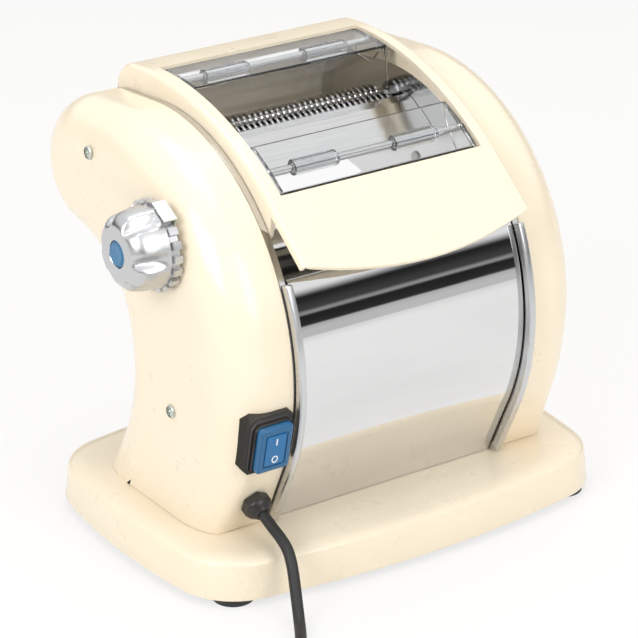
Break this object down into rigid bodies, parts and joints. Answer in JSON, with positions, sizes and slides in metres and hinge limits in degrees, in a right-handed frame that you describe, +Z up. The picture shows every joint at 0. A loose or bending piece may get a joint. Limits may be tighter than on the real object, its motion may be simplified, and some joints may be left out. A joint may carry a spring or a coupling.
{
  "type": "electric pasta maker",
  "caption": "Electric pasta maker: cream housings and hood over smooth rollers and noodle cutters, thickness knob, rocker switch, hinged clear guards and mains cord.",
  "frame": {"origin": "on the ground under the middle of the machine's bounding box, the mains cord left out", "axes": "+X to the right along the rollers, +Y to the rear, +Z up; the front panel faces -Y and the knob is on -X"},
  "size_m": [0.3969, 0.4513, 0.268],
  "materials": {
    "cream_paint": "smooth glossy paint",
    "dark_steel": "dark, oiled",
    "black_rubber": "matt",
    "polished_steel": "polished",
    "zinc": "zinc plated",
    "chrome": "mirror polish",
    "aluminium": "satin",
    "clear_plastic": "clear, see-through",
    "white_nylon": "moulded",
    "bronze": "plain bearing metal",
    "satin_silver": "satin silver coat",
    "blue_plastic": "smooth",
    "black_plastic": "fine grain"
  },
  "bodies": {
    "machine": {"base_shell": "cream_paint", "base_plate": "dark_steel", "left_front_foot": "black_rubber", "left_rear_foot": "black_rubber", "right_front_foot": "black_rubber", "right_rear_foot": "black_rubber", "left_side_frame": "polished_steel", "right_side_frame": "polished_steel", "front_tie_rod": "zinc", "rear_tie_rod": "zinc", "upper_tie_rod": "zinc", "front_panel": "chrome", "left_trim": "aluminium", "right_trim": "aluminium", "hood": "cream_paint", "front_guard_pin": "polished_steel", "rear_guard_pin": "polished_steel", "main_gear_pin": "zinc", "idler_gear_pin": "zinc", "gear_case": "dark_steel", "motor_can": "zinc", "index_bracket": "zinc", "switch_bezel": "black_plastic", "switch_body": "black_plastic", "cord_gland": "black_plastic", "left_housing": "cream_paint", "left_housing_upper_screw": "zinc", "left_housing_lower_screw": "zinc", "right_housing": "cream_paint", "right_housing_upper_screw": "zinc", "right_housing_lower_screw": "zinc", "cord_stretch": "black_rubber", "cord_coil": "black_rubber", "cord_tie": "black_plastic", "plug_body": "black_rubber", "front_chute": "polished_steel", "cutter_cover": "polished_steel", "rear_cover": "cream_paint", "rear_panel": "chrome"},
    "front_guard_flap": {"front_guard": "clear_plastic"},
    "rear_guard_flap": {"rear_guard": "clear_plastic"},
    "fixed_roller_set": {"fixed_roller": "polished_steel", "drive_gear": "dark_steel"},
    "roller_carriage": {"left_bearing_block": "bronze", "right_bearing_block": "bronze"},
    "adjustable_roller_set": {"adjustable_roller": "polished_steel", "adjustable_roller_gear": "dark_steel"},
    "front_cutter_set": {"front_cutter": "polished_steel", "front_cutter_gear": "dark_steel"},
    "rear_cutter_set": {"rear_cutter": "polished_steel", "rear_cutter_gear": "dark_steel"},
    "main_gear_set": {"main_gear": "white_nylon"},
    "idler_gear_set": {"idler_gear": "white_nylon"},
    "pinion_set": {"pinion_shaft": "polished_steel"},
    "adjuster_shaft": {"knob_shaft": "zinc", "knob_spring": "polished_steel"},
    "adjuster_knob": {"knob_body": "satin_silver", "knob_index_ring": "satin_silver", "knob_cap": "blue_plastic"},
    "rocker": {"switch_rocker": "blue_plastic"}
  },
  "joints": [
    {"name": "fixed_roller_spin", "type": "hinge", "parent": "machine", "child": "fixed_roller_set", "pos_m": [0.003, -0.05149, 0.197], "axis": [1, 0, 0], "continuous": true},
    {"name": "roller_gap", "type": "slide", "parent": "machine", "child": "roller_carriage", "axis": [0, -1, 0], "range_m": [0, 0.002]},
    {"name": "adjustable_roller_spin", "type": "hinge", "parent": "roller_carriage", "child": "adjustable_roller_set", "pos_m": [0.003, -0.02409, 0.197], "axis": [1, 0, 0], "continuous": true},
    {"name": "front_cutter_spin", "type": "hinge", "parent": "machine", "child": "front_cutter_set", "pos_m": [0.003, 0.03294, 0.22397], "axis": [1, 0, 0], "continuous": true},
    {"name": "rear_cutter_spin", "type": "hinge", "parent": "machine", "child": "rear_cutter_set", "pos_m": [0.003, 0.04894, 0.22397], "axis": [1, 0, 0], "continuous": true},
    {"name": "main_gear_spin", "type": "hinge", "parent": "machine", "child": "main_gear_set", "pos_m": [0.003, -0.02804, 0.15859], "axis": [1, 0, 0], "continuous": true},
    {"name": "idler_gear_spin", "type": "hinge", "parent": "machine", "child": "idler_gear_set", "pos_m": [0.003, 0.01234, 0.19444], "axis": [1, 0, 0], "continuous": true},
    {"name": "pinion_spin", "type": "hinge", "parent": "machine", "child": "pinion_set", "pos_m": [0.003, -0.01802, 0.12245], "axis": [1, 0, 0], "continuous": true},
    {"name": "thickness_turn", "type": "hinge", "parent": "machine", "child": "adjuster_shaft", "pos_m": [0.003, -0.02609, 0.1995], "axis": [-1, 0, 0], "range_deg": [0, 180]},
    {"name": "knob_pull", "type": "slide", "parent": "adjuster_shaft", "child": "adjuster_knob", "axis": [-1, 0, 0], "range_m": [0, 0.005], "stiffness_N_per_m": 600, "springref_m": -0.004},
    {"name": "front_guard_hinge", "type": "hinge", "parent": "machine", "child": "front_guard_flap", "pos_m": [0.003, -0.04609, 0.2344], "axis": [-1, 0, 0], "range_deg": [0, 90]},
    {"name": "rear_guard_hinge", "type": "hinge", "parent": "machine", "child": "rear_guard_flap", "pos_m": [0.003, 0.04591, 0.26197], "axis": [-1, 0, 0], "range_deg": [0, 90]},
    {"name": "switch_rock", "type": "hinge", "parent": "machine", "child": "rocker", "pos_m": [-0.098, -0.09508, 0.09721], "axis": [1, 0, 0], "range_deg": [0, 12]}
  ],
  "couplings": [
    {"joint": "adjustable_roller_spin", "follows": "fixed_roller_spin", "ratio": -1},
    {"joint": "main_gear_spin", "follows": "fixed_roller_spin", "ratio": -0.5},
    {"joint": "pinion_spin", "follows": "fixed_roller_spin", "ratio": 2},
    {"joint": "idler_gear_spin", "follows": "fixed_roller_spin", "ratio": 0.625},
    {"joint": "front_cutter_spin", "follows": "fixed_roller_spin", "ratio": -1.25},
    {"joint": "rear_cutter_spin", "follows": "fixed_roller_spin", "ratio": 1.25},
    {"joint": "thickness_turn", "follows": "roller_gap", "rad_per_m": 1570.8}
  ]
}
